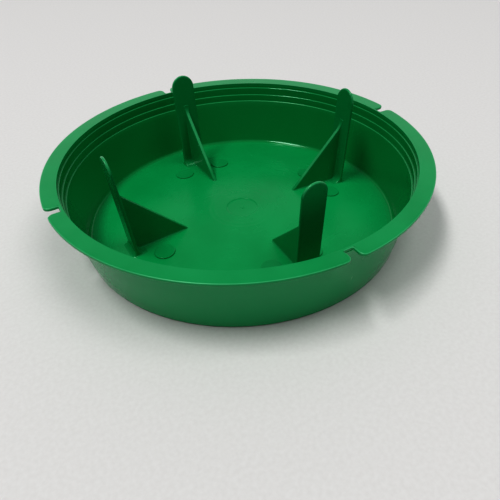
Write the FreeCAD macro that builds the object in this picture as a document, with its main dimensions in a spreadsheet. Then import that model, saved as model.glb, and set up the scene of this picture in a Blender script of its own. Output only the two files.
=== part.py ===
import FreeCAD, Part
import math
import os
import Sketcher

# A shallow round dish moulded in one plastic: domed floor, drafted wall with three fine
# ledges inside its mouth, a flat flange with four notches, and four standing posts, each a
# flat blade braced by a triangular gusset. The bodies are the regions of that moulding and
# touch face to face. +Z is up, the origin is the centre of the ring that the dish rests on,
# and the posts stand on the X and Y axes.

# Driving dimensions, in millimetres and degrees.
DIMENSIONS = {
    "floor_radius": 64.5,
    "floor_thickness": 1.6,
    "floor_rise": 3.1,
    "wall_inner_base": 67.3,
    "wall_inner_draft": 11.7,
    "wall_outer_base": 68.65,
    "wall_outer_draft": 11.2,
    "corner_height": 6.0,
    "corner_fillet": 1.6,
    "base_rounding": 1.2,
    "ledge_height_low": 23.2,
    "ledge_height_middle": 26.3,
    "ledge_height_high": 29.8,
    "ledge_depth": 0.45,
    "ledge_draft": 3.7,
    "flange_radius": 80.0,
    "flange_top": 32.0,
    "flange_thickness": 1.3,
    "flange_rounding": 0.4,
    "notch_inner_radius": 74.6,
    "notch_half_width": 1.85,
    "notch_mouth_rounding": 2.6,
    "post_bury_height": 2.0,
    "blade_foot_radius": 50.65,
    "blade_lean": 4.95,
    "blade_foot_thickness": 1.35,
    "blade_tip_thickness": 1.15,
    "blade_foot_half_width": 5.25,
    "blade_top_half_width": 5.35,
    "blade_top": 47.0,
    "blade_flare": 1.0,
    "blade_flare_height": 2.5,
    "gusset_thickness": 1.6,
    "gusset_tip_radius": 26.2,
    "gusset_tip_bury_height": 3.4,
    "gusset_shoulder_radius": 51.4,
    "gusset_shoulder_height": 28.65,
    "gusset_top_radius": 53.15,
    "gusset_top": 33.0,
    "gusset_fillet": 7.0,
    "pad_radius": 4.2,
    "pad_relief": 0.55,
    "pad_depth": 1.0,
    "pad_along": 41.5,
    "pad_aside": 9.6,
    "centre_ring_radius": 8.0,
    "centre_disc_radius": 6.9,
    "centre_depth": 1.0,
    "centre_ring_drop": 0.05,
    "centre_disc_drop": 0.35,
    "gate_stub_radius": 0.9,
    "gate_stub_height": 0.15,
}

# Lengths worked out from the driving dimensions, each in the sheet's terms.
DERIVED = {
    "floor_apex": "dims.floor_thickness + dims.floor_rise",
    "dome_radius": "(dims.floor_radius^2 + dims.floor_rise^2) / (2 * dims.floor_rise)",
    "inner_at_corner": "dims.wall_inner_base"
    " + (dims.corner_height - dims.floor_thickness) * tan(dims.wall_inner_draft)",
    "inner_at_low": "dims.wall_inner_base"
    " + (dims.ledge_height_low - dims.floor_thickness) * tan(dims.wall_inner_draft)",
    "low_ring_foot": "derived.inner_at_low + dims.ledge_depth",
    "low_ring_head": "derived.low_ring_foot"
    " + (dims.ledge_height_middle - dims.ledge_height_low) * tan(dims.ledge_draft)",
    "middle_ring_foot": "derived.low_ring_head + dims.ledge_depth",
    "middle_ring_head": "derived.middle_ring_foot"
    " + (dims.ledge_height_high - dims.ledge_height_middle) * tan(dims.ledge_draft)",
    "high_ring_foot": "derived.middle_ring_head + dims.ledge_depth",
    "high_ring_head": "derived.high_ring_foot"
    " + (derived.flange_underside - dims.ledge_height_high) * tan(dims.ledge_draft)",
    "flange_underside": "dims.flange_top - dims.flange_thickness",
    "outer_at_corner": "dims.wall_outer_base + dims.corner_height * tan(dims.wall_outer_draft)",
    "outer_at_low": "dims.wall_outer_base + dims.ledge_height_low * tan(dims.wall_outer_draft)",
    "outer_at_middle": "dims.wall_outer_base"
    " + dims.ledge_height_middle * tan(dims.wall_outer_draft)",
    "outer_at_high": "dims.wall_outer_base"
    " + dims.ledge_height_high * tan(dims.wall_outer_draft)",
    "outer_at_flange": "dims.wall_outer_base"
    " + derived.flange_underside * tan(dims.wall_outer_draft)",
    "notch_mouth_start": "dims.flange_radius - dims.notch_mouth_rounding",
    "notch_mouth_half_width": "dims.notch_half_width + dims.notch_mouth_rounding",
    "notch_outside": "dims.flange_radius + dims.notch_mouth_rounding",
    "blade_height": "dims.blade_top - dims.post_bury_height",
    "flare_top": "dims.blade_flare_height + dims.blade_flare",
    "blade_inner_flare": "dims.blade_foot_radius"
    " + (derived.flare_top - dims.post_bury_height) * tan(dims.blade_lean)",
    "blade_inner_toe": "derived.blade_inner_flare - dims.blade_flare",
    "blade_inner_top": "dims.blade_foot_radius + derived.blade_height * tan(dims.blade_lean)",
    "blade_outer_flare": "derived.blade_inner_flare + dims.blade_foot_thickness",
    "blade_outer_toe": "derived.blade_outer_flare + dims.blade_flare",
    "blade_outer_top": "derived.blade_inner_top + dims.blade_tip_thickness",
    "blade_shoulder": "dims.blade_top - dims.blade_top_half_width",
    "frame_half_width": "2 * dims.blade_foot_half_width",
    "frame_top": "dims.blade_top + dims.blade_top_half_width",
    "gusset_heel_radius": "dims.blade_foot_radius + dims.blade_foot_thickness / 2",
    "gusset_back_radius": "dims.gusset_top_radius + dims.blade_tip_thickness / 2",
}

SIDES = 4
AXIS = "0"

document = FreeCAD.newDocument("dish")
sheet = document.addObject("Spreadsheet::Sheet", "dims")
derived = document.addObject("App::VarSet", "derived")


def fill_sheet():
    """Write each driving dimension in the sheet, with its alias."""
    for row, (alias, size) in enumerate(DIMENSIONS.items(), start=1):
        cell = "B%d" % row
        sheet.set("A%d" % row, alias)
        sheet.set(cell, str(size))
        sheet.setAlias(cell, alias)
    document.recompute()


def fill_derived():
    """Bind each derived length to its expression."""
    for name in DERIVED:
        derived.addProperty("App::PropertyFloat", name)
    for name, expression in DERIVED.items():
        derived.setExpression(name, expression)
    document.recompute()


def reference(name):
    """The expression that names a driving or derived length."""
    if name in DIMENSIONS:
        return "dims." + name
    return "derived." + name


def length(name):
    """The number behind a name; a leading minus mirrors it and AXIS is nought."""
    if name == AXIS:
        return 0.0
    if name.startswith("-"):
        return -length(name[1:])
    if name in DIMENSIONS:
        return DIMENSIONS[name]
    return getattr(derived, name)


def new_body(label):
    body = document.addObject("PartDesign::Body", label + "_body")
    body.Label = label
    return body


def new_sketch(body, role):
    """A sketch on one of the body's own origin planes."""
    plane = [item for item in body.Origin.OriginFeatures if item.Role == role][0]
    sketch = body.newObject("Sketcher::SketchObject", body.Name + "_sketch")
    sketch.AttachmentSupport = [(plane, "")]
    sketch.MapMode = "FlatFace"
    return sketch


def place_point(sketch, geometry, end, across, up):
    """Hold one end of a sketch element at two named lengths from the origin."""
    for kind, name in (("DistanceX", across), ("DistanceY", up)):
        if name == AXIS:
            line = -2 if kind == "DistanceX" else -1
            sketch.addConstraint(Sketcher.Constraint("PointOnObject", geometry, end, line))
            continue
        if name.startswith("-"):
            name = name[1:]
            held = Sketcher.Constraint(kind, geometry, end, -1, 1, length(name))
        else:
            held = Sketcher.Constraint(kind, -1, 1, geometry, end, length(name))
        index = sketch.addConstraint(held)
        sketch.setExpression("Constraints[%d]" % index, reference(name))


def arc_between(first, last, radius, left):
    """The shorter arc from first to last, bulging to the left or right of the way there."""
    middle = (first + last) * 0.5
    way = last - first
    side = FreeCAD.Vector(-way.y, way.x, 0).normalize()
    sink = math.sqrt(radius ** 2 - (way.Length / 2) ** 2)
    centre = middle - side * sink if left else middle + side * sink
    start, end = (last, first) if left else (first, last)
    start_angle = math.atan2(start.y - centre.y, start.x - centre.x)
    end_angle = math.atan2(end.y - centre.y, end.x - centre.x)
    circle = Part.Circle(centre, FreeCAD.Vector(0, 0, 1), radius)
    return Part.ArcOfCircle(circle, start_angle, end_angle)


def draw_outline(sketch, corners, arcs=None):
    """A closed outline through named corners.

    arcs maps the number of a stretch, counted from its first corner, to the name of its
    radius and to whether it bulges left of the way along the outline.
    """
    arcs = arcs or {}
    points = [FreeCAD.Vector(length(across), length(up), 0) for across, up in corners]
    starts = []
    ends = []
    for number, point in enumerate(points):
        following = points[(number + 1) % len(points)]
        if number in arcs:
            radius_name, left = arcs[number]
            shape = arc_between(point, following, length(radius_name), left)
            geometry = sketch.addGeometry(shape, False)
            radius = Sketcher.Constraint("Radius", geometry, length(radius_name))
            index = sketch.addConstraint(radius)
            sketch.setExpression("Constraints[%d]" % index, reference(radius_name))
            start_end, last_end = (2, 1) if left else (1, 2)
        else:
            geometry = sketch.addGeometry(Part.LineSegment(point, following), False)
            start_end, last_end = 1, 2
        starts.append((geometry, start_end))
        ends.append((geometry, last_end))
    for number, start in enumerate(starts):
        before = ends[number - 1]
        sketch.addConstraint(Sketcher.Constraint("Coincident", *before, *start))
        place_point(sketch, *start, *corners[number])


def turned_body(label, corners, arcs=None):
    """A body turned about Z from an outline in the XZ plane."""
    body = new_body(label)
    sketch = new_sketch(body, "XZ_Plane")
    draw_outline(sketch, corners, arcs)
    turn = body.newObject("PartDesign::Revolution", label + "_turn")
    turn.Profile = sketch
    turn.ReferenceAxis = (sketch, ["V_Axis"])
    turn.Angle = 360
    body.Tip = turn
    document.recompute()
    return body


def round_circles(body, base, circles):
    """Fillet circular edges of a turned body, each given as (radius, height, fillet)."""
    for number, (radius, height, fillet_name) in enumerate(circles):
        edges = []
        for index, edge in enumerate(base.Shape.Edges, start=1):
            if not isinstance(edge.Curve, Part.Circle):
                continue
            same_radius = abs(edge.Curve.Radius - length(radius)) < 0.01
            if same_radius and abs(edge.Curve.Center.z - length(height)) < 0.01:
                edges.append("Edge%d" % index)
        fillet = body.newObject("PartDesign::Fillet", "%s_round_%d" % (body.Name, number))
        fillet.Base = (base, edges)
        fillet.setExpression("Radius", reference(fillet_name))
        body.Tip = fillet
        document.recompute()
        base = fillet


def cut(label, base, tool):
    """base without tool, as an object with its own label."""
    result = document.addObject("Part::Cut", label)
    result.Base = base
    result.Tool = tool
    result.Label = label
    document.recompute()
    return result


def build_floor_shell():
    """The whole domed floor, with the same dome above and below and no gate mark yet."""
    corners = [
        (AXIS, "floor_rise"),
        ("floor_radius", AXIS),
        ("floor_radius", "floor_thickness"),
        (AXIS, "floor_apex"),
    ]
    return turned_body("floor_shell", corners, {0: ("dome_radius", True), 2: ("dome_radius", False)})


def build_corner():
    """The rounded corner between floor and wall, whose flat underside the dish rests on."""
    corners = [
        ("floor_radius", AXIS),
        ("wall_outer_base", AXIS),
        ("outer_at_corner", "corner_height"),
        ("inner_at_corner", "corner_height"),
        ("wall_inner_base", "floor_thickness"),
        ("floor_radius", "floor_thickness"),
    ]
    body = turned_body("resting_corner", corners)
    circles = [
        ("wall_inner_base", "floor_thickness", "corner_fillet"),
        ("wall_outer_base", AXIS, "base_rounding"),
    ]
    round_circles(body, body.Tip, circles)
    return body


def build_wall_rings():
    """The plain wall and the three rings above it, each one ledge further out inside."""
    rings = [
        ("side_wall", "inner_at_corner", "inner_at_low", "corner_height", "ledge_height_low",
         "outer_at_corner", "outer_at_low"),
        ("lower_ledge_ring", "low_ring_foot", "low_ring_head", "ledge_height_low",
         "ledge_height_middle", "outer_at_low", "outer_at_middle"),
        ("middle_ledge_ring", "middle_ring_foot", "middle_ring_head", "ledge_height_middle",
         "ledge_height_high", "outer_at_middle", "outer_at_high"),
        ("upper_ledge_ring", "high_ring_foot", "high_ring_head", "ledge_height_high",
         "flange_underside", "outer_at_high", "outer_at_flange"),
    ]
    bodies = []
    for label, inner_foot, inner_head, foot, head, outer_foot, outer_head in rings:
        corners = [
            (inner_foot, foot),
            (outer_foot, foot),
            (outer_head, head),
            (inner_head, head),
        ]
        bodies.append(turned_body(label, corners))
    return bodies


def build_flange():
    """The flat flange with a notch at each post, its mouth rounded out to the rim."""
    corners = [
        ("high_ring_head", "flange_underside"),
        ("flange_radius", "flange_underside"),
        ("flange_radius", "flange_top"),
        ("high_ring_head", "flange_top"),
    ]
    body = turned_body("rim_flange", corners)
    circles = [
        ("flange_radius", "flange_top", "flange_rounding"),
        ("flange_radius", "flange_underside", "flange_rounding"),
    ]
    round_circles(body, body.Tip, circles)
    sketch = new_sketch(body, "XY_Plane")
    outline = [
        ("notch_inner_radius", "-notch_half_width"),
        ("notch_mouth_start", "-notch_half_width"),
        ("flange_radius", "-notch_mouth_half_width"),
        ("notch_outside", "-notch_mouth_half_width"),
        ("notch_outside", "notch_mouth_half_width"),
        ("flange_radius", "notch_mouth_half_width"),
        ("notch_mouth_start", "notch_half_width"),
        ("notch_inner_radius", "notch_half_width"),
    ]
    rounding = ("notch_mouth_rounding", True)
    draw_outline(sketch, outline, {1: rounding, 5: rounding})
    whole = body.Shape.Volume
    notch = body.newObject("PartDesign::Pocket", "rim_notch")
    notch.Profile = sketch
    notch.Type = "ThroughAll"
    notch.Reversed = True
    body.Tip = notch
    document.recompute()
    if body.Shape.Volume >= whole:
        raise RuntimeError("the flange notch cut nothing")
    ring = body.newObject("PartDesign::PolarPattern", "rim_notches")
    ring.Originals = [notch]
    ring.Axis = (sketch, ["N_Axis"])
    ring.Angle = 360
    ring.Occurrences = SIDES
    body.Tip = ring
    document.recompute()
    return body


def build_blade(label, angle, floor):
    """A flat blade that leans out with the wall, flared at its root and round at its top."""
    body = new_body(label + "_whole")
    section = new_sketch(body, "XZ_Plane")
    corners = [
        ("blade_inner_toe", "post_bury_height"),
        ("blade_outer_toe", "post_bury_height"),
        ("blade_outer_toe", "blade_flare_height"),
        ("blade_outer_flare", "flare_top"),
        ("blade_outer_top", "blade_top"),
        ("blade_inner_top", "blade_top"),
        ("blade_inner_flare", "flare_top"),
        ("blade_inner_toe", "blade_flare_height"),
    ]
    draw_outline(section, corners, {2: ("blade_flare", True), 6: ("blade_flare", True)})
    pad = body.newObject("PartDesign::Pad", body.Name + "_pad")
    pad.Profile = section
    pad.Midplane = True
    pad.setExpression("Length", "4 * dims.blade_foot_half_width")
    body.Tip = pad
    document.recompute()
    whole = body.Shape.Volume
    front = new_sketch(body, "YZ_Plane")
    frame = [
        ("-frame_half_width", AXIS),
        ("frame_half_width", AXIS),
        ("frame_half_width", "frame_top"),
        ("-frame_half_width", "frame_top"),
    ]
    draw_outline(front, frame)
    face = [
        ("-blade_foot_half_width", "post_bury_height"),
        ("blade_foot_half_width", "post_bury_height"),
        ("blade_top_half_width", "blade_shoulder"),
        (AXIS, "blade_top"),
        ("-blade_top_half_width", "blade_shoulder"),
    ]
    top = ("blade_top_half_width", False)
    draw_outline(front, face, {2: top, 3: top})
    trim = body.newObject("PartDesign::Pocket", body.Name + "_trim")
    trim.Profile = front
    trim.Type = "ThroughAll"
    trim.Reversed = True
    body.Tip = trim
    document.recompute()
    if body.Shape.Volume >= whole:
        raise RuntimeError("the blade was not trimmed")
    body.Placement = FreeCAD.Placement(FreeCAD.Vector(), FreeCAD.Vector(0, 0, 1), angle)
    return cut(label, body, floor)


def build_gusset(label, angle, floor, blade):
    """The upright triangle that braces a blade, with a hollow curve where it runs out."""
    body = new_body(label + "_whole")
    sketch = new_sketch(body, "XZ_Plane")
    corners = [
        ("gusset_tip_radius", "gusset_tip_bury_height"),
        ("gusset_heel_radius", "post_bury_height"),
        ("gusset_back_radius", "gusset_top"),
        ("gusset_top_radius", "gusset_top"),
        ("gusset_shoulder_radius", "gusset_shoulder_height"),
    ]
    draw_outline(sketch, corners, {3: ("gusset_fillet", True)})
    pad = body.newObject("PartDesign::Pad", body.Name + "_pad")
    pad.Profile = sketch
    pad.Midplane = True
    pad.setExpression("Length", reference("gusset_thickness"))
    body.Tip = pad
    body.Placement = FreeCAD.Placement(FreeCAD.Vector(), FreeCAD.Vector(0, 0, 1), angle)
    document.recompute()
    clear = cut(label + "_above_floor", body, floor)
    return cut(label, clear, blade)


def build_pad(label, angle, aside, floor):
    """A low round pad on the floor, square to the dome where it stands."""
    along = length("pad_along")
    flat = FreeCAD.Rotation(FreeCAD.Vector(0, 0, 1), angle)
    spot = flat.multVec(FreeCAD.Vector(along, aside, 0))
    dome = length("dome_radius")
    centre = FreeCAD.Vector(0, 0, length("floor_apex") - dome)
    spot.z = centre.z + math.sqrt(dome ** 2 - spot.x ** 2 - spot.y ** 2)
    square = (spot - centre).normalize()
    cylinder = document.addObject("Part::Cylinder", label + "_whole")
    cylinder.setExpression("Radius", reference("pad_radius"))
    cylinder.setExpression("Height", "dims.pad_depth + dims.pad_relief")
    tilt = FreeCAD.Rotation(FreeCAD.Vector(0, 0, 1), square)
    cylinder.Placement = FreeCAD.Placement(spot - square * length("pad_depth"), tilt)
    return cut(label, cylinder, floor)


def build_centre(floor):
    """The moulding gate's mark: a shallow round hollow, its level border and the gate's stub.

    The border and the hollow's bottom fill a pocket in the floor. Gives back the floor with
    its pocket, then the three pieces of the mark.
    """
    bottom = length("floor_apex") - length("centre_depth")
    sizes = [
        ("centre_pocket", "centre_ring_radius", "2 * dims.centre_depth"),
        ("centre_core", "centre_disc_radius", "2 * dims.centre_depth"),
        ("centre_border", "centre_ring_radius", "dims.centre_depth - dims.centre_ring_drop"),
        ("centre_disc", "centre_disc_radius", "dims.centre_depth - dims.centre_disc_drop"),
    ]
    blanks = {}
    for name, radius, height in sizes:
        blank = document.addObject("Part::Cylinder", name)
        blank.setExpression("Radius", reference(radius))
        blank.setExpression("Height", height)
        blank.Placement.Base = FreeCAD.Vector(0, 0, bottom)
        blanks[name] = blank
    document.recompute()
    pocketed = cut("dish_floor", floor, blanks["centre_pocket"])
    ring = cut("centre_ring", blanks["centre_border"], blanks["centre_core"])
    stub = document.addObject("Part::Cylinder", "gate_stub")
    stub.setExpression("Radius", reference("gate_stub_radius"))
    stub.setExpression("Height", reference("gate_stub_height"))
    top = length("floor_apex") - length("centre_disc_drop")
    stub.Placement.Base = FreeCAD.Vector(0, 0, top)
    document.recompute()
    return [pocketed, ring, blanks["centre_disc"], stub]


def build_posts(floor):
    """The four posts and the pads beside them, turned a quarter turn each."""
    pieces = []
    for side in range(SIDES):
        angle = side * 360 / SIDES
        blade = build_blade("post_blade_%d" % (side + 1), angle, floor)
        gusset = build_gusset("post_gusset_%d" % (side + 1), angle, floor, blade)
        pieces += [blade, gusset]
        for number, sign in enumerate((-1, 1), start=1):
            label = "ejector_pad_%d" % (2 * side + number)
            pieces.append(build_pad(label, angle, sign * length("pad_aside"), floor))
    return pieces


def check_document(pieces):
    """Stop if any object failed, or any sub-part isn't one valid solid."""
    for item in document.Objects:
        if "Invalid" in item.State or "Error" in item.State:
            raise RuntimeError("%s is %s" % (item.Label, item.State))
    for piece in pieces:
        shape = piece.Shape
        if shape.isNull() or not shape.isValid() or len(shape.Solids) != 1:
            raise RuntimeError("%s is not one valid solid" % piece.Label)


def write_parts(pieces):
    os.makedirs("parts", exist_ok=True)
    for piece in pieces:
        piece.Shape.exportStep("parts/%s.step" % piece.Label)
        print("%-20s %10.2f mm3" % (piece.Label, piece.Shape.Volume))


fill_sheet()
fill_derived()
floor_shell = build_floor_shell()
all_pieces = build_centre(floor_shell)
all_pieces.append(build_corner())
all_pieces += build_wall_rings()
all_pieces.append(build_flange())
all_pieces += build_posts(floor_shell)
document.recompute()
check_document(all_pieces)
write_parts(all_pieces)
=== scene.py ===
import math

import bpy
import numpy as np
from mathutils import Matrix, Vector


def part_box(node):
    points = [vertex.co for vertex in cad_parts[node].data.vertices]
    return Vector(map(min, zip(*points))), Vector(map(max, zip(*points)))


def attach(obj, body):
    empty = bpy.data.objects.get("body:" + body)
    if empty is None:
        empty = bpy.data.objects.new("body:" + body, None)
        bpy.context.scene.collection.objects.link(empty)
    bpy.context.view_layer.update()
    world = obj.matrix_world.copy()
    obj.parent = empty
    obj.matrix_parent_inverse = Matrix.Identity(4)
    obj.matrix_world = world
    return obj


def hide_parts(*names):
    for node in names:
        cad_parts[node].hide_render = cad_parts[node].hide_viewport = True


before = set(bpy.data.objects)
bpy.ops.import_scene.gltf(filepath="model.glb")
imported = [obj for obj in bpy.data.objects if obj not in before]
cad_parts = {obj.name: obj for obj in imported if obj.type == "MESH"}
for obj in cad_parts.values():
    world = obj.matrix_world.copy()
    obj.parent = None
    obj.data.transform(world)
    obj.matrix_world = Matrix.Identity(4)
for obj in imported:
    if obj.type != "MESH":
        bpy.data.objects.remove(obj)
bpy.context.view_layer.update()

MM = 0.001
SIDES = 4

# Mesh fineness: steps round a turned piece, rows and greatest spacings along an outline.
AROUND = 384
AROUND_MARK = 192
AROUND_PAD = 72
AROUND_STUB = 48
FLOOR_ROWS = 96
RIM_ARC_STEPS = 40
WALL_STEP = 2.5 * MM
GUSSET_STEP = 0.8 * MM

# How nearly two places have to agree to count as one, in metres.
SLACK = 1e-6
ON_AXIS = 1e-9

# Small moulding details that the CAD leaves out.
LEDGE_ROUNDING = 0.34 * MM
CORNER_FILLET = 1.6 * MM
BASE_ROUNDING = 1.2 * MM
POST_EDGE = 0.5 * MM
BLADE_FLARE_TOP = 3.5 * MM
INNER_FILLET = 3.4 * MM
OUTER_FILLET = 2.2 * MM
END_FILLET = 0.5 * MM
GUSSET_EDGE = 0.45 * MM
GUSSET_FILLET = 0.65 * MM
GUSSET_ROOT = 0.8 * MM
GUSSET_OVERLAP = 0.5 * MM
GUSSET_LEAST_RISE = 0.02 * MM
PAD_LIP = 0.07 * MM
PAD_EDGE = 0.15 * MM
BURIED = 0.3 * MM
FLOOR_RING_RELIEF = 0.05 * MM
FLOOR_RING_WIDTH = 0.5 * MM
FLOOR_RING_RADII = (12.6 * MM, 14.9 * MM)
MARK_LIP = 0.15 * MM
MARK_SLOPE = 0.7 * MM
NOTCH_END_ROUNDING = 0.4 * MM
NOTCH_MOUTH_ROUNDING = 2.6 * MM
FLANGE_ROUNDING = 0.4 * MM

# The rounding of a gusset's sloping edge is taller than wide, since it is cut upright, and
# near the tip the gusset's sides are this much taller than their fillet and rounding.
GUSSET_EDGE_STRETCH = 1.4
GUSSET_SPARE = 1.15

# Where a blade's faces are divided, from the middle to an edge, and the flange's, from the
# inner edge out. Both are finer where the surface starts to turn.
BLADE_SHARES = (0.0, 0.2, 0.4, 0.6, 0.78, 0.9, 0.945, 0.97, 0.987, 0.996, 1.0)
FLANGE_SHARES = (0.0, 0.03, 0.1, 0.25, 0.45, 0.65, 0.85, 1.0)

# Half a notch faces this many degrees of the flange's inner edge.
NOTCH_FAN = 3.4


# ---------------------------------------------------------------- reading the frame


def node_points(node):
    """The node's vertices as an array, in metres."""
    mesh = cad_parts[node].data
    points = np.zeros(len(mesh.vertices) * 3)
    mesh.vertices.foreach_get("co", points)
    return points.reshape(-1, 3)


def radii_at(node, height):
    """The least and greatest radius of a turned node at one height."""
    points = node_points(node)
    level = points[np.abs(points[:, 2] - height) < SLACK]
    radii = np.hypot(level[:, 0], level[:, 1])
    return float(radii.min()), float(radii.max())


def ring_corners(node):
    """Inner foot, outer foot, outer head and inner head of a turned wall ring."""
    low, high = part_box(node)
    inner_foot, outer_foot = radii_at(node, low.z)
    inner_head, outer_head = radii_at(node, high.z)
    return [
        (inner_foot, low.z),
        (outer_foot, low.z),
        (outer_head, high.z),
        (inner_head, high.z),
    ]


def measure_floor():
    """Edge radius, edge height and rise of the floor's upper surface."""
    _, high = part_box("dish_floor")
    points = node_points("dish_floor")
    radii = np.hypot(points[:, 0], points[:, 1])
    edge_height = float(points[radii > radii.max() - 10 * SLACK][:, 2].max())
    return high.x, edge_height, high.z - edge_height


FLOOR_EDGE, FLOOR_EDGE_HEIGHT, FLOOR_RISE = measure_floor()
DOME_RADIUS = (FLOOR_EDGE ** 2 + FLOOR_RISE ** 2) / (2 * FLOOR_RISE)


def dome(radius):
    """How far the domed floor stands above its own edge at a radius."""
    return FLOOR_RISE - DOME_RADIUS + math.sqrt(DOME_RADIUS ** 2 - radius ** 2)


def floor_top(radius):
    return FLOOR_EDGE_HEIGHT + dome(radius)


# ---------------------------------------------------------------- mesh helpers


def make_piece(name, node, points, faces, material):
    """A shaded piece that stands for one CAD node."""
    mesh = bpy.data.meshes.new(name)
    mesh.from_pydata([tuple(p) for p in points], [], faces)
    mesh.validate()
    mesh.materials.append(material)
    mesh.shade_smooth()
    mesh.set_sharp_from_angle(angle=math.radians(40))
    piece = bpy.data.objects.new(name, mesh)
    bpy.context.scene.collection.objects.link(piece)
    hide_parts(node)
    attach(piece, "root")
    return piece


def quarter_turn(steps):
    """Pairs (1 - cos, sin) from 0 to 90 degrees, for drawing a rounded edge or a fillet."""
    angles = [math.pi / 2 * step / steps for step in range(steps + 1)]
    return [(1 - math.cos(angle), math.sin(angle)) for angle in angles]


def round_corners(outline, rounding, steps=4):
    """A closed outline with chosen corners rounded: rounding maps a corner to its radius."""
    rounded = []
    for number, corner in enumerate(outline):
        if number not in rounding:
            rounded.append(tuple(corner))
            continue
        here = Vector(corner)
        before = (Vector(outline[number - 1]) - here).normalized()
        after = (Vector(outline[(number + 1) % len(outline)]) - here).normalized()
        half = before.angle(after) / 2
        reach = rounding[number] / math.tan(half)
        centre = here + (before + after).normalized() * rounding[number] / math.sin(half)
        first = here + before * reach - centre
        last = here + after * reach - centre
        turn = first.angle_signed(last)
        for step in range(steps + 1):
            arm = first.copy()
            arm.rotate(Matrix.Rotation(-turn * step / steps, 2))
            rounded.append(tuple(centre + arm))
    return rounded


def spread(outline, longest):
    """The same closed outline, with stretches longer than the limit divided evenly."""
    spread_out = []
    for number, corner in enumerate(outline):
        here = Vector(corner)
        following = Vector(outline[(number + 1) % len(outline)])
        count = max(1, math.ceil((following - here).length / longest))
        for step in range(count):
            spread_out.append(tuple(here.lerp(following, step / count)))
    return spread_out


def lathe(name, node, outline, material, around=AROUND, closed=True, place=None):
    """A piece turned about Z from an outline of (radius, height), then put in its place.

    An open outline starts and ends on the axis, where it closes with a fan.
    """
    points = []
    faces = []
    rows = len(outline)
    angles = [2 * math.pi * step / around for step in range(around)]
    starts = []
    for radius, height in outline:
        starts.append(len(points))
        if radius < ON_AXIS:
            points.append((0.0, 0.0, height))
        else:
            points += [(radius * math.cos(a), radius * math.sin(a), height) for a in angles]
    for row in range(rows if closed else rows - 1):
        following = (row + 1) % rows
        alone = outline[row][0] < ON_AXIS
        next_alone = outline[following][0] < ON_AXIS
        for step in range(around):
            after = (step + 1) % around
            a = starts[row] + (0 if alone else step)
            b = starts[row] + (0 if alone else after)
            c = starts[following] + (0 if next_alone else after)
            d = starts[following] + (0 if next_alone else step)
            if alone and next_alone:
                continue
            if alone:
                faces.append((a, c, d))
            elif next_alone:
                faces.append((a, b, d))
            else:
                faces.append((a, b, c, d))
    if place is not None:
        points = [place @ Vector(point) for point in points]
    return make_piece(name, node, points, faces, material)


def fillet_offset(radius, distance):
    """How far a concave fillet stands out from a face, at a distance from the other one."""
    if distance >= radius:
        return 0.0
    return radius - math.sqrt(radius ** 2 - (radius - max(distance, 0.0)) ** 2)


def loft(name, node, rings, material):
    """A piece skinned over rings that all have the same number of points."""
    count = len(rings[0])
    points = [point for ring in rings for point in ring]
    faces = []
    for row in range(len(rings) - 1):
        for step in range(count):
            after = (step + 1) % count
            low = row * count
            high = low + count
            faces.append((low + step, high + step, high + after, low + after))
    faces.append(tuple(range(count)))
    faces.append(tuple(reversed(range(len(points) - count, len(points)))))
    return make_piece(name, node, points, faces, material)


# ---------------------------------------------------------------- materials


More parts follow.
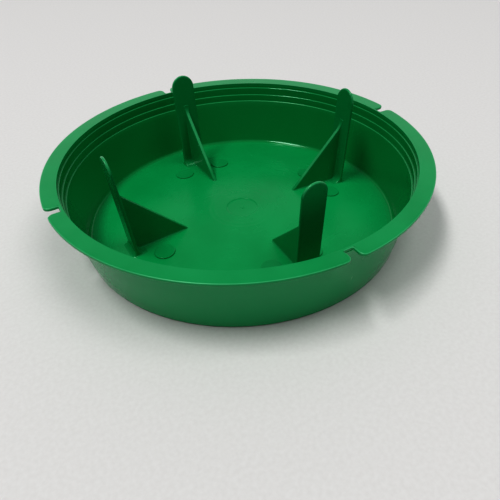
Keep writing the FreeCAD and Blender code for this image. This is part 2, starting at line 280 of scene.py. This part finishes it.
class Nodes:
    """Short calls for building one node material."""

    def __init__(self, name):
        self.material = bpy.data.materials.new(name)
        self.material.use_nodes = True
        self.tree = self.material.node_tree
        self.shader = self.tree.nodes["Principled BSDF"]
        self.place = self.add("ShaderNodeTexCoord").outputs["Object"]

    def add(self, kind, **settings):
        node = self.tree.nodes.new(kind)
        for key, value in settings.items():
            setattr(node, key, value)
        return node

    def link(self, source, target):
        self.tree.links.new(source, target)

    def noise(self, scale, detail=3.0, roughness=0.5, stretch=(1, 1, 1)):
        """Fractal noise in the object's own space; scale is in features per metre."""
        mapping = self.add("ShaderNodeMapping")
        mapping.inputs["Scale"].default_value = stretch
        self.link(self.place, mapping.inputs["Vector"])
        texture = self.add("ShaderNodeTexNoise")
        texture.inputs["Scale"].default_value = scale
        texture.inputs["Detail"].default_value = detail
        texture.inputs["Roughness"].default_value = roughness
        self.link(mapping.outputs["Vector"], texture.inputs["Vector"])
        return texture.outputs["Fac"]

    def span(self, source, low, high, out_low, out_high):
        """Maps a stretch of a value onto another, clamped."""
        node = self.add("ShaderNodeMapRange")
        for name, value in zip(
            ("From Min", "From Max", "To Min", "To Max"), (low, high, out_low, out_high)
        ):
            node.inputs[name].default_value = value
        self.link(source, node.inputs["Value"])
        return node.outputs["Result"]

    def math(self, operation, first, second=None):
        node = self.add("ShaderNodeMath", operation=operation)
        for socket, value in zip(node.inputs, (first, second)):
            if value is None:
                continue
            if isinstance(value, (int, float)):
                socket.default_value = value
            else:
                self.link(value, socket)
        return node.outputs[0]

    def mix(self, share, first, second):
        """A colour between two, each a colour or another mix."""
        node = self.add("ShaderNodeMix", data_type="RGBA")
        self.link(share, node.inputs["Factor"])
        for socket, value in ((node.inputs[6], first), (node.inputs[7], second)):
            if isinstance(value, tuple):
                socket.default_value = (*value, 1.0)
            else:
                self.link(value, socket)
        return node.outputs[2]

    def rolled_edges(self, level_share):
        """1 where a surface well clear of the floor rolls over to face up, 0 where it's upright.

        Level surfaces come out at level_share.
        """
        surface = self.add("ShaderNodeNewGeometry")
        facing = self.add("ShaderNodeSeparateXYZ")
        self.link(surface.outputs["Normal"], facing.inputs[0])
        place = self.add("ShaderNodeSeparateXYZ")
        self.link(surface.outputs["Position"], place.inputs[0])
        rising = self.span(facing.outputs["Z"], 0.3, 0.6, 0, 1)
        levelling = self.span(facing.outputs["Z"], 0.9, 0.99, 1, level_share)
        clear = self.span(place.outputs["Z"], 7 * MM, 11 * MM, 0, 1)
        return self.math("MULTIPLY", self.math("MULTIPLY", rising, levelling), clear)

    def looking_in(self):
        """1 on faces that look towards the dish's axis and 0 on those that look away."""
        surface = self.add("ShaderNodeNewGeometry")
        across = self.add("ShaderNodeVectorMath", operation="MULTIPLY")
        across.inputs[1].default_value = (1.0, 1.0, 0.0)
        self.link(surface.outputs["Position"], across.inputs[0])
        facing = self.add("ShaderNodeVectorMath", operation="DOT_PRODUCT")
        self.link(surface.outputs["Normal"], facing.inputs[0])
        self.link(across.outputs["Vector"], facing.inputs[1])
        return self.span(facing.outputs["Value"], -20 * MM, 20 * MM, 1, 0)

    def bump(self, height, distance, normal=None):
        node = self.add("ShaderNodeBump")
        node.inputs["Strength"].default_value = 1.0
        node.inputs["Distance"].default_value = distance
        self.link(height, node.inputs["Height"])
        if normal is not None:
            self.link(normal, node.inputs["Normal"])
        return node.outputs["Normal"]


# Linear colours of the plastic: fresh, scuffed, pale edges partly from rubbing and partly painted
# highlight, and the painted shade and painted light of the walls' inner and outer faces.
GREEN = (0.004, 0.285, 0.086)
GREEN_DEEP = (0.002, 0.250, 0.072)
GREEN_WORN = (0.03, 0.35, 0.14)
EDGE_RUBBED_AND_LIT = (0.10, 0.50, 0.24)
GREEN_SHADED_INSIDE = (0.002, 0.200, 0.050)
GREEN_LIT_OUTSIDE = (0.008, 0.310, 0.100)
SHEEN_TINT = (0.60, 1.0, 0.78, 1.0)


def moulded_plastic(
    name, gloss, scuffs, flow=None, paint_side_light=False, rubbed_and_lit_edges=None, rubbed_and_lit_paleness=0.5, tone=1.0
):
    """Semi-gloss green polypropylene: faint cloudy colour, fine grain, scuffs, pale edges partly
    rubbed and partly painted highlight, and painted light and shade on the walls.

    gloss is the mean roughness. flow is "radial" for streaks out from the gate,
    "upright" for drag marks up a wall, or None. paint_side_light paints light and shade
    onto the walls: the faces that look away from the dish's axis are painted brighter and
    those that look in are painted darker. rubbed_and_lit_edges is the share of the pale
    edges that level faces get, or None for no pale edges; the pale edges are partly
    rubbing and partly painted highlight, and rubbed_and_lit_paleness says how pale they
    are. tone scales the green.
    """
    nodes = Nodes(name)
    cloud = nodes.noise(34, 4, 0.55)
    grain = nodes.noise(2600, 2, 0.6)
    scratch = nodes.noise(420, 3, 0.65, (1.0, 0.08, 1.0))
    scratch_across = nodes.noise(460, 3, 0.65, (0.08, 1.0, 1.0))
    scuff = nodes.math("MULTIPLY", nodes.span(scratch, 0.62, 0.75, 0, 1), scuffs)
    scuff_across = nodes.math("MULTIPLY", nodes.span(scratch_across, 0.64, 0.77, 0, 1), scuffs)
    scuffed = nodes.math("MAXIMUM", scuff, scuff_across)
    deep, bright = (tuple(tone * part for part in green) for green in (GREEN_DEEP, GREEN))
    colour = nodes.mix(nodes.span(cloud, 0.35, 0.65, 0, 1), deep, bright)
    if paint_side_light:
        # Painted light on faces that look out from the axis and painted shade on faces that look
        # in.
        side_light_and_shade = nodes.mix(nodes.looking_in(), GREEN_LIT_OUTSIDE, GREEN_SHADED_INSIDE)
        colour = nodes.mix(nodes.span(cloud, 0.2, 0.8, 1.0, 0.85), colour, side_light_and_shade)
    colour = nodes.mix(scuffed, colour, GREEN_WORN)
    if rubbed_and_lit_edges is not None:
        # Pale rounded edges that face up: partly rubbing and partly painted highlight where the
        # lamps catch them.
        rubbed_and_lit = nodes.span(cloud, 0.3, 0.7, 0.6 * rubbed_and_lit_paleness, rubbed_and_lit_paleness)
        rubbed_and_lit = nodes.math("MULTIPLY", rubbed_and_lit, nodes.rolled_edges(rubbed_and_lit_edges))
        colour = nodes.mix(rubbed_and_lit, colour, EDGE_RUBBED_AND_LIT)
    nodes.link(colour, nodes.shader.inputs["Base Color"])
    rough = nodes.span(cloud, 0.3, 0.7, gloss - 0.04, gloss + 0.05)
    rough = nodes.math("ADD", rough, nodes.math("MULTIPLY", scuffed, 0.18))
    height = grain
    if flow == "radial":
        ripple = nodes.add("ShaderNodeTexWave", wave_type="RINGS", rings_direction="Z")
        ripple.inputs["Scale"].default_value = 60
        ripple.inputs["Distortion"].default_value = 2.5
        ripple.inputs["Detail"].default_value = 2
        nodes.link(nodes.place, ripple.inputs["Vector"])
        rough = nodes.math("ADD", rough, nodes.math("MULTIPLY", ripple.outputs["Fac"], 0.02))
    if flow == "upright":
        drag = nodes.noise(900, 2, 0.5, (1.0, 1.0, 0.02))
        rough = nodes.math("ADD", rough, nodes.span(drag, 0.4, 0.7, 0, 0.02))
        height = nodes.math("ADD", grain, nodes.math("MULTIPLY", drag, 0.06))
    nodes.link(rough, nodes.shader.inputs["Roughness"])
    fine = nodes.bump(height, 0.009 * MM)
    swell = nodes.bump(nodes.noise(90, 2, 0.4), 0.12 * MM, fine)
    nodes.link(swell, nodes.shader.inputs["Normal"])
    nodes.shader.inputs["IOR"].default_value = 1.49
    nodes.shader.inputs["Specular IOR Level"].default_value = 0.5
    nodes.shader.inputs["Specular Tint"].default_value = SHEEN_TINT
    return nodes.material


# ---------------------------------------------------------------- the dish


def build_floor(material):
    """The domed floor, with two faint rings round the pocket of its gate mark."""
    mark_low, mark_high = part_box("centre_ring")
    under = []
    top = []
    for step in range(FLOOR_ROWS + 1):
        radius = FLOOR_EDGE * step / FLOOR_ROWS
        under.append((radius, max(0.0, dome(radius))))
        radius = mark_high.x + (FLOOR_EDGE - mark_high.x) * step / FLOOR_ROWS
        height = floor_top(radius)
        for ring in FLOOR_RING_RADII:
            height += FLOOR_RING_RELIEF * math.exp(-(((radius - ring) / FLOOR_RING_WIDTH) ** 2))
        top.append((radius, height))
    pocket = [(mark_high.x, mark_low.z - BURIED), (0.0, mark_low.z - BURIED)]
    outline = under + list(reversed(top)) + pocket
    lathe("dish_floor_visual", "dish_floor", outline, material, closed=False)


def build_corner(material):
    """The rounded corner between floor and wall, read off the CAD ring's own section."""
    low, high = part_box("resting_corner")
    inner_head, outer_head = radii_at("resting_corner", high.z)
    inner_foot, _ = radii_at("resting_corner", low.z)
    side = ring_corners("side_wall")
    inner_draft = (side[3][0] - side[0][0]) / (side[3][1] - side[0][1])
    outer_draft = (side[2][0] - side[1][0]) / (side[2][1] - side[1][1])
    inner_base = inner_head - inner_draft * (high.z - FLOOR_EDGE_HEIGHT)
    outer_base = outer_head - outer_draft * high.z
    outline = [
        (inner_foot, low.z),
        (outer_base, low.z),
        (outer_head, high.z),
        (inner_head, high.z),
        (inner_base, FLOOR_EDGE_HEIGHT),
        (inner_foot, FLOOR_EDGE_HEIGHT),
    ]
    outline = round_corners(outline, {1: BASE_ROUNDING, 4: CORNER_FILLET}, steps=10)
    lathe("resting_corner_visual", "resting_corner", outline, material)


def build_ring(node, material, rounding):
    """A ring of the wall; rounding maps its corners, from the inner foot, to their radii."""
    outline = round_corners(ring_corners(node), rounding)
    lathe(node + "_visual", node, spread(outline, WALL_STEP), material)


def build_walls(wall_material, ledge_material):
    build_ring("side_wall", wall_material, {3: LEDGE_ROUNDING})
    build_ring("lower_ledge_ring", ledge_material, {3: LEDGE_ROUNDING})
    build_ring("middle_ledge_ring", ledge_material, {3: LEDGE_ROUNDING})
    build_ring("upper_ledge_ring", ledge_material, {})


def measure_notch():
    """The half width of a notch and the radius of its inner end, off the first one."""
    points = node_points("rim_flange")
    inner = float(np.hypot(points[:, 0], points[:, 1]).min())
    beside = points[(np.abs(points[:, 1]) < 5 * MM) & (points[:, 0] > inner + 0.5 * MM)]
    end = float(beside[:, 0].min())
    half = float(np.abs(beside[beside[:, 0] < end + 10 * SLACK][:, 1]).max())
    return half, end


def notch_path(flange_radius):
    """Half of a notch's edge, from its centre line out to where the rim's arc starts."""
    notch_half, notch_end = measure_notch()
    mouth = NOTCH_MOUTH_ROUNDING
    corner = NOTCH_END_ROUNDING
    path = [(notch_end, notch_half * step / 4) for step in range(4)]
    for back, out in quarter_turn(4):
        path.append((notch_end + corner * back, notch_half - corner + corner * out))
    side_start = notch_end + corner
    mouth_start = flange_radius - mouth
    for step in range(1, 6):
        path.append((side_start + (mouth_start - side_start) * step / 5, notch_half))
    for back, out in quarter_turn(12)[1:-1]:
        path.append((mouth_start + mouth * out, notch_half + mouth * back))
    return [point for point in path if math.hypot(*point) < flange_radius - SLACK]


def rim_eighth(flange_radius):
    """An eighth of the rim's edge, from a notch's centre line to 45 degrees.

    Each entry is a point's x and y and the angle of the point it faces on the inner edge.
    """
    notch = notch_path(flange_radius)
    fan = math.radians(NOTCH_FAN)
    eighth = [(x, y, fan * number / len(notch)) for number, (x, y) in enumerate(notch)]
    first_angle = math.atan2(notch[-1][1], notch[-1][0])
    for step in range(1, RIM_ARC_STEPS + 1):
        share = step / RIM_ARC_STEPS
        angle = first_angle + (math.pi / 4 - first_angle) * share
        inner_angle = fan + (math.pi / 4 - fan) * share
        x, y = flange_radius * math.cos(angle), flange_radius * math.sin(angle)
        eighth.append((x, y, inner_angle))
    return eighth


def rim_outline(flange_radius):
    """The rim's whole outer edge, and the angles of the points it faces on the inner edge."""
    eighth = rim_eighth(flange_radius)
    mirrored = [(x, -y, -angle) for x, y, angle in eighth][::-1][1:-1]
    edge = []
    inner_angles = []
    for side in range(SIDES):
        turn = side * math.pi / 2
        for x, y, angle in mirrored + eighth:
            edge.append((
                x * math.cos(turn) - y * math.sin(turn),
                x * math.sin(turn) + y * math.cos(turn),
            ))
            inner_angles.append(angle + turn)
    return np.array(edge), np.array(inner_angles)


def build_flange(material):
    """The flat flange with its notches, every outer edge softly rounded."""
    low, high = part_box("rim_flange")
    points = node_points("rim_flange")
    radii = np.hypot(points[:, 0], points[:, 1])
    edge, inner_angles = rim_outline(float(radii.max()))
    heart = float(radii.min()) * np.stack([np.cos(inner_angles), np.sin(inner_angles)], 1)
    along = np.roll(edge, -1, 0) - np.roll(edge, 1, 0)
    outward = np.stack([along[:, 1], -along[:, 0]], 1)
    outward /= np.linalg.norm(outward, axis=1)[:, None]
    radius = FLANGE_ROUNDING
    inset = edge - outward * radius
    flat = [heart + (inset - heart) * share for share in FLANGE_SHARES]
    roll = [(edge - outward * radius * (1 - out), radius * back) for back, out in quarter_turn(6)]
    rings = [(shape, high.z) for shape in flat]
    rings += [(shape, high.z - drop) for shape, drop in roll[1:]]
    rings += [(shape, low.z + drop) for shape, drop in reversed(roll[1:])]
    rings += [(shape, low.z) for shape in reversed(flat)]
    count = len(edge)
    vertices = [(x, y, height) for shape, height in rings for x, y in shape]
    faces = []
    for row in range(len(rings)):
        following = (row + 1) % len(rings)
        for step in range(count):
            after = (step + 1) % count
            faces.append((
                row * count + step,
                following * count + step,
                following * count + after,
                row * count + after,
            ))
    make_piece("rim_flange_visual", "rim_flange", vertices, faces, material)


def build_mark(material):
    """The gate mark: a hollow with a sloping side, its level border and the gate's stub."""
    ring_low, ring_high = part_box("centre_ring")
    disc_low, disc_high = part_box("centre_disc")
    stub_low, stub_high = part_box("gate_stub")
    ring = [
        (disc_high.x, ring_low.z),
        (ring_high.x, ring_low.z),
        (ring_high.x, floor_top(ring_high.x)),
        (disc_high.x, ring_high.z),
    ]
    ring = round_corners(ring, {3: MARK_LIP})
    lathe("centre_ring_visual", "centre_ring", ring, material, AROUND_MARK)
    rise = ring_high.z - MARK_LIP - disc_high.z
    disc = [(0.0, disc_low.z), (disc_high.x, disc_low.z)]
    for step in range(9):
        share = 1 - step / 8
        disc.append((disc_high.x - MARK_SLOPE * (1 - share), disc_high.z + rise * share ** 2))
    disc.append((0.0, disc_high.z))
    lathe("centre_disc_visual", "centre_disc", disc, material, AROUND_MARK, closed=False)
    stub = [(0.0, stub_low.z - BURIED), (stub_high.x, stub_low.z - BURIED)]
    height = stub_high.z - stub_low.z
    for back, out in quarter_turn(6):
        stub.append((stub_high.x - height * back, stub_low.z + height * out))
    stub.append((0.0, stub_high.z))
    lathe("gate_stub_visual", "gate_stub", stub, material, AROUND_STUB, closed=False)


def measure_blade():
    """The first post's blade: radii of its faces along its height, its half widths and top."""
    points = node_points("post_blade_1")
    _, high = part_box("post_blade_1")
    foot = points[np.abs(points[:, 2] - BLADE_FLARE_TOP) < SLACK]
    tip = points[points[:, 2] > high.z - SLACK]
    top_half = float(np.abs(points[points[:, 2] > high.z - 6 * MM][:, 1]).max())
    return {
        "heights": (BLADE_FLARE_TOP, high.z),
        "inner": (float(foot[:, 0].min()), float(tip[:, 0].min())),
        "outer": (float(foot[:, 0].max()), float(tip[:, 0].max())),
        "foot_half": high.y,
        "top_half": top_half,
        "top": high.z,
    }


BLADE = measure_blade()


def along_blade(name, height):
    """A measure of the blade at one height, carried on in a straight line."""
    (low, high), (first, last) = BLADE["heights"], BLADE[name]
    return first + (last - first) * (height - low) / (high - low)


def post_turn(number):
    return Matrix.Rotation((number - 1) * 2 * math.pi / SIDES, 4, "Z")


def blade_ring(height, stand):
    """One level cut through a blade: height is the cut's, stand its height over the floor."""
    shares = [-share for share in reversed(BLADE_SHARES[1:])] + list(BLADE_SHARES)
    radius = BLADE["top_half"]
    shoulder = BLADE["top"] - radius
    middle = (along_blade("inner", height) + along_blade("outer", height)) / 2
    half_depth = (along_blade("outer", height) - along_blade("inner", height)) / 2
    if height <= shoulder:
        share_up = (height - BLADE_FLARE_TOP) / (shoulder - BLADE_FLARE_TOP)
        half = BLADE["foot_half"] + (radius - BLADE["foot_half"]) * share_up
    else:
        half = math.sqrt(max(0.0, radius ** 2 - (height - shoulder) ** 2))
    foot_radius = (along_blade("inner", 0.0) + along_blade("outer", 0.0)) / 2
    grip = max(0.0, 1.0 - max(stand, 0.0) / (3 * INNER_FILLET))
    foot_height = floor_top(foot_radius)
    ring = []
    for face, fillet in ((-1, INNER_FILLET), (1, OUTER_FILLET)):
        for share in shares if face < 0 else reversed(shares):
            across = half * share
            if height <= shoulder:
                inset = half - abs(across)
            else:
                inset = radius - math.hypot(across, height - shoulder)
            lean_in = (POST_EDGE - min(max(inset, 0.0), POST_EDGE)) / POST_EDGE
            out = math.sqrt(1.0 - lean_in ** 2)
            depth = half_depth - POST_EDGE + POST_EDGE * out
            depth += fillet_offset(fillet, stand) * out
            across += math.copysign(fillet_offset(END_FILLET, stand) * lean_in, share)
            along = middle + face * depth
            level = height + grip * (floor_top(math.hypot(along, across)) - foot_height)
            ring.append(Vector((along, across, level)))
    return ring


def build_blade(number, material):
    """A flat leaning blade: soft edges, a round top, and fillets where it meets the floor."""
    foot_radius = (along_blade("inner", 0.0) + along_blade("outer", 0.0)) / 2
    base = floor_top(foot_radius)
    shoulder = BLADE["top"] - BLADE["top_half"]
    stands = [-BURIED] + [INNER_FILLET * back for back, _ in quarter_turn(10)]
    first = stands[-1]
    for step in range(1, 19):
        stands.append(first + (shoulder - base - first) * step / 18)
    for degrees in (*range(6, 60, 6), 60, 65, 69, *range(72, 90, 3), 89):
        stands.append(shoulder - base + BLADE["top_half"] * math.sin(math.radians(degrees)))
    turn = post_turn(number)
    rings = [[turn @ point for point in blade_ring(base + stand, stand)] for stand in stands]
    node = "post_blade_%d" % number
    loft(node + "_visual", node, rings, material)


def gusset_edge():
    """The rising edge of the first post's gusset, from its tip up, as (radius, height)."""
    edge = []
    for along, _, height in sorted(node_points("post_gusset_1").tolist()):
        if not edge or height > edge[-1][1] + 0.1 * MM:
            edge.append((along, height))
    return edge


def build_gusset(number, material):
    """The brace of a blade: soft sloping edge, hollow run-out and small fillets at its roots."""
    _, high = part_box("post_gusset_1")
    edge = [Vector(corner) for corner in gusset_edge()]
    shoulder = edge[-2].x
    edge.append(edge[-1] + Vector((GUSSET_OVERLAP, 0.0)))
    half_depth = high.y
    stations = []
    for first, last in zip(edge, edge[1:]):
        count = max(1, math.ceil((last - first).length / GUSSET_STEP))
        stations += [first.lerp(last, step / count) for step in range(count)]
    stations.append(edge[-1])
    tip = edge[0].x
    edge_height = GUSSET_EDGE * GUSSET_EDGE_STRETCH
    turn = post_turn(number)
    rings = []
    for station in stations:
        along = station.x
        rise = max(station.y - floor_top(along), GUSSET_LEAST_RISE)
        squeeze = min(1.0, rise / (GUSSET_SPARE * (GUSSET_FILLET + edge_height)))
        fillet = GUSSET_FILLET * squeeze
        near_tip = max(0.0, 1.0 - (along - tip) / half_depth)
        half = half_depth * math.sqrt(1.0 - 0.9 * near_tip ** 2)
        side = [(half + fillet, -BURIED)]
        side += [(half + fillet * (1 - out), fillet * back) for back, out in quarter_turn(5)]
        top_start = rise - edge_height * squeeze
        side += [(half, fillet + (top_start - fillet) * step / 6) for step in range(1, 6)]
        for back, out in quarter_turn(5):
            across = half - GUSSET_EDGE * squeeze * back
            side.append((across, top_start + edge_height * squeeze * out))
        lean_share = min(1.0, (along - tip) / (shoulder - tip))
        ring = []
        for sign in (-1, 1):
            for across, stand in side if sign < 0 else reversed(side):
                level = floor_top(along) + stand
                lean = along_blade("inner", station.y) - along_blade("inner", level)
                here = along - lean_share * lean
                height = floor_top(math.hypot(here, across)) + stand
                gap = along_blade("inner", height) - here
                root = fillet_offset(GUSSET_ROOT, gap)
                ring.append(turn @ Vector((here, sign * (across + root), height)))
        rings.append(ring)
    node = "post_gusset_%d" % number
    loft(node + "_visual", node, rings, material)


def build_pad(number, material):
    """A low round pad, square to the domed floor, with a faint lip round its top."""
    node = "ejector_pad_%d" % number
    points = node_points(node)
    low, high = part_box(node)
    middle = (low + high) / 2
    dome_centre = Vector((0.0, 0.0, floor_top(0.0) - DOME_RADIUS))
    spot = Vector((middle.x, middle.y, floor_top(math.hypot(middle.x, middle.y))))
    square = (spot - dome_centre).normalized()
    from_spot = points - np.array(spot)
    heights = from_spot @ np.array(square)
    relief = float(heights.max())
    radius = float(np.linalg.norm(from_spot - np.outer(heights, square), axis=1).max())
    outline = [(0.0, -BURIED), (radius, -BURIED)]
    for back, out in quarter_turn(4):
        outline.append((radius - PAD_EDGE * back, relief - PAD_EDGE * (1 - out)))
    for share, drop in ((0.9, 0.0), (0.82, 0.5), (0.75, 1.0), (0.4, 1.0), (0.0, 1.0)):
        outline.append((radius * share, relief - PAD_LIP * drop))
    place = Matrix.Translation(spot) @ square.to_track_quat("Z", "Y").to_matrix().to_4x4()
    lathe(node + "_visual", node, outline, material, AROUND_PAD, closed=False, place=place)


floor_plastic = moulded_plastic("floor_plastic", 0.25, 0.08, "radial")
corner_plastic = moulded_plastic("corner_plastic", 0.07, 0.03, paint_side_light=True)
# The pale edges of the walls, ledges, rim and posts are partly rubbing and partly painted
# highlight.
wall_plastic = moulded_plastic(
    "wall_plastic", 0.22, 0.04, "upright", paint_side_light=True, rubbed_and_lit_edges=0.4, rubbed_and_lit_paleness=0.3
)
ledge_plastic = moulded_plastic(
    "ledge_plastic", 0.10, 0.05, "upright", paint_side_light=True, rubbed_and_lit_edges=0.4, rubbed_and_lit_paleness=0.3
)
rim_plastic = moulded_plastic("rim_plastic", 0.30, 0.08, rubbed_and_lit_edges=0.0, rubbed_and_lit_paleness=0.6, tone=0.95)
# The posts' tone of 0.8 darkens their green as painted shade.
post_plastic = moulded_plastic("post_plastic", 0.22, 0.1, rubbed_and_lit_edges=1.0, rubbed_and_lit_paleness=0.25, tone=0.8)
mark_plastic = moulded_plastic("mark_plastic", 0.25, 0.1)
pad_plastic = moulded_plastic("pad_plastic", 0.25, 0.1, tone=0.88)

build_floor(floor_plastic)
build_corner(corner_plastic)
build_walls(wall_plastic, ledge_plastic)
build_flange(rim_plastic)
build_mark(mark_plastic)
for number in range(1, SIDES + 1):
    build_blade(number, post_plastic)
    build_gusset(number, post_plastic)
for number in range(1, 2 * SIDES + 1):
    build_pad(number, pad_plastic)


# ---------------------------------------------------------------- floor, light, camera


VIEW_HEADING = (0.50, 0.87, 0.0)
STAGE_REACH = 3.0
STAGE_TONES = ((0.603, 0.596, 0.590), (0.633, 0.628, 0.623))
LAMP_WHITE = (1.0, 0.995, 0.985)
ROOM_WHITE = (0.97, 0.98, 1.0, 1.0)


def build_stage():
    """A plain pale surface under the dish."""
    mesh = bpy.data.meshes.new("stage_floor")
    reach = STAGE_REACH
    corners = [(-reach, -reach, 0), (reach, -reach, 0), (reach, reach, 0), (-reach, reach, 0)]
    mesh.from_pydata(corners, [], [(0, 1, 2, 3)])
    stage = bpy.data.objects.new("stage_floor", mesh)
    bpy.context.scene.collection.objects.link(stage)
    nodes = Nodes("pale_surface")
    weave = nodes.noise(700, 2, 0.5)
    tone = nodes.mix(nodes.span(weave, 0.3, 0.7, 0, 1), *STAGE_TONES)
    nodes.link(tone, nodes.shader.inputs["Base Color"])
    nodes.shader.inputs["Roughness"].default_value = 0.9
    nodes.shader.inputs["Specular IOR Level"].default_value = 0.2
    mesh.materials.append(nodes.material)


def add_area_light(name, place, size, power, mirrored=True):
    """A flat light that faces the dish, its long side along the camera's heading."""
    light = bpy.data.lights.new(name, "AREA")
    light.shape = "RECTANGLE"
    light.size, light.size_y = size
    light.energy = power
    light.color = LAMP_WHITE
    lamp = bpy.data.objects.new(name, light)
    back = Vector(place).normalized()
    side = Vector(VIEW_HEADING).cross(back).normalized()
    turn = Matrix((side, back.cross(side), back)).transposed()
    lamp.matrix_world = Matrix.Translation(place) @ turn.to_4x4()
    lamp.visible_glossy = mirrored
    bpy.context.scene.collection.objects.link(lamp)


def build_light():
    """A ceiling panel to the left, a broad soft lamp high at the front right and a dim room.

    The room is brighter low down on its far side, which the level faces mirror.
    """
    world = bpy.data.worlds.new("studio")
    world.use_nodes = True
    tree = world.node_tree
    background = tree.nodes["Background"]
    background.inputs["Color"].default_value = ROOM_WHITE
    direction = tree.nodes.new("ShaderNodeTexCoord").outputs["Generated"]
    parts = tree.nodes.new("ShaderNodeSeparateXYZ")
    tree.links.new(direction, parts.inputs[0])

    def ramp(source, shades):
        node = tree.nodes.new("ShaderNodeValToRGB")
        stops = node.color_ramp.elements
        while len(stops) < len(shades):
            stops.new(0.5)
        for stop, (place, shade) in zip(stops, shades):
            stop.position = place
            stop.color = (shade, shade, shade, 1.0)
        tree.links.new(source, node.inputs["Fac"])
        return node.outputs["Color"]

    def blend(operation, first, second):
        node = tree.nodes.new("ShaderNodeMath")
        node.operation = operation
        tree.links.new(first, node.inputs[0])
        tree.links.new(second, node.inputs[1])
        return node.outputs[0]

    toward = tree.nodes.new("ShaderNodeVectorMath")
    toward.operation = "DOT_PRODUCT"
    toward.inputs[1].default_value = VIEW_HEADING
    tree.links.new(direction, toward.inputs[0])
    room = ramp(parts.outputs["Z"], ((0.0, 0.12), (0.45, 0.14), (0.62, 0.22), (1.0, 0.25)))
    far_side = ramp(toward.outputs["Value"], ((0.0, 0.0), (0.45, 0.0), (0.75, 1.0), (1.0, 1.0)))
    low = ramp(parts.outputs["Z"], ((0.0, 0.5), (0.42, 0.5), (0.6, 0.0), (1.0, 0.0)))
    glow = blend("MULTIPLY", far_side, low)
    tree.links.new(blend("ADD", room, glow), background.inputs["Strength"])
    bpy.context.scene.world = world
    add_area_light("panel", (-1.12, 0.0, 2.7), (0.42, 1.45), 39)
    add_area_light("front_lamp", (0.6, -0.8, 2.45), (1.4, 1.4), 18, mirrored=False)


def build_camera():
    """The camera as fitted to the photograph, which is framed a little off its axis."""
    place = Vector((-89.6, -177.2, 142.7)) * MM
    aim = Vector((-16.1, -48.0, 20.0)) * MM
    roll = math.radians(-1.73)
    camera = bpy.data.cameras.new("camera")
    camera.sensor_width = 36
    camera.lens = 38.43
    camera.shift_x = -0.03
    camera.clip_start = 0.005
    body = bpy.data.objects.new("camera", camera)
    facing = (aim - place).to_track_quat("-Z", "Y").to_matrix() @ Matrix.Rotation(roll, 3, "Z")
    body.matrix_world = Matrix.Translation(place) @ facing.to_4x4()
    bpy.context.scene.collection.objects.link(body)
    bpy.context.scene.camera = body


build_stage()
build_light()
build_camera()
bpy.context.scene.view_settings.view_transform = "Standard"
bpy.context.scene.view_settings.look = "High Contrast"
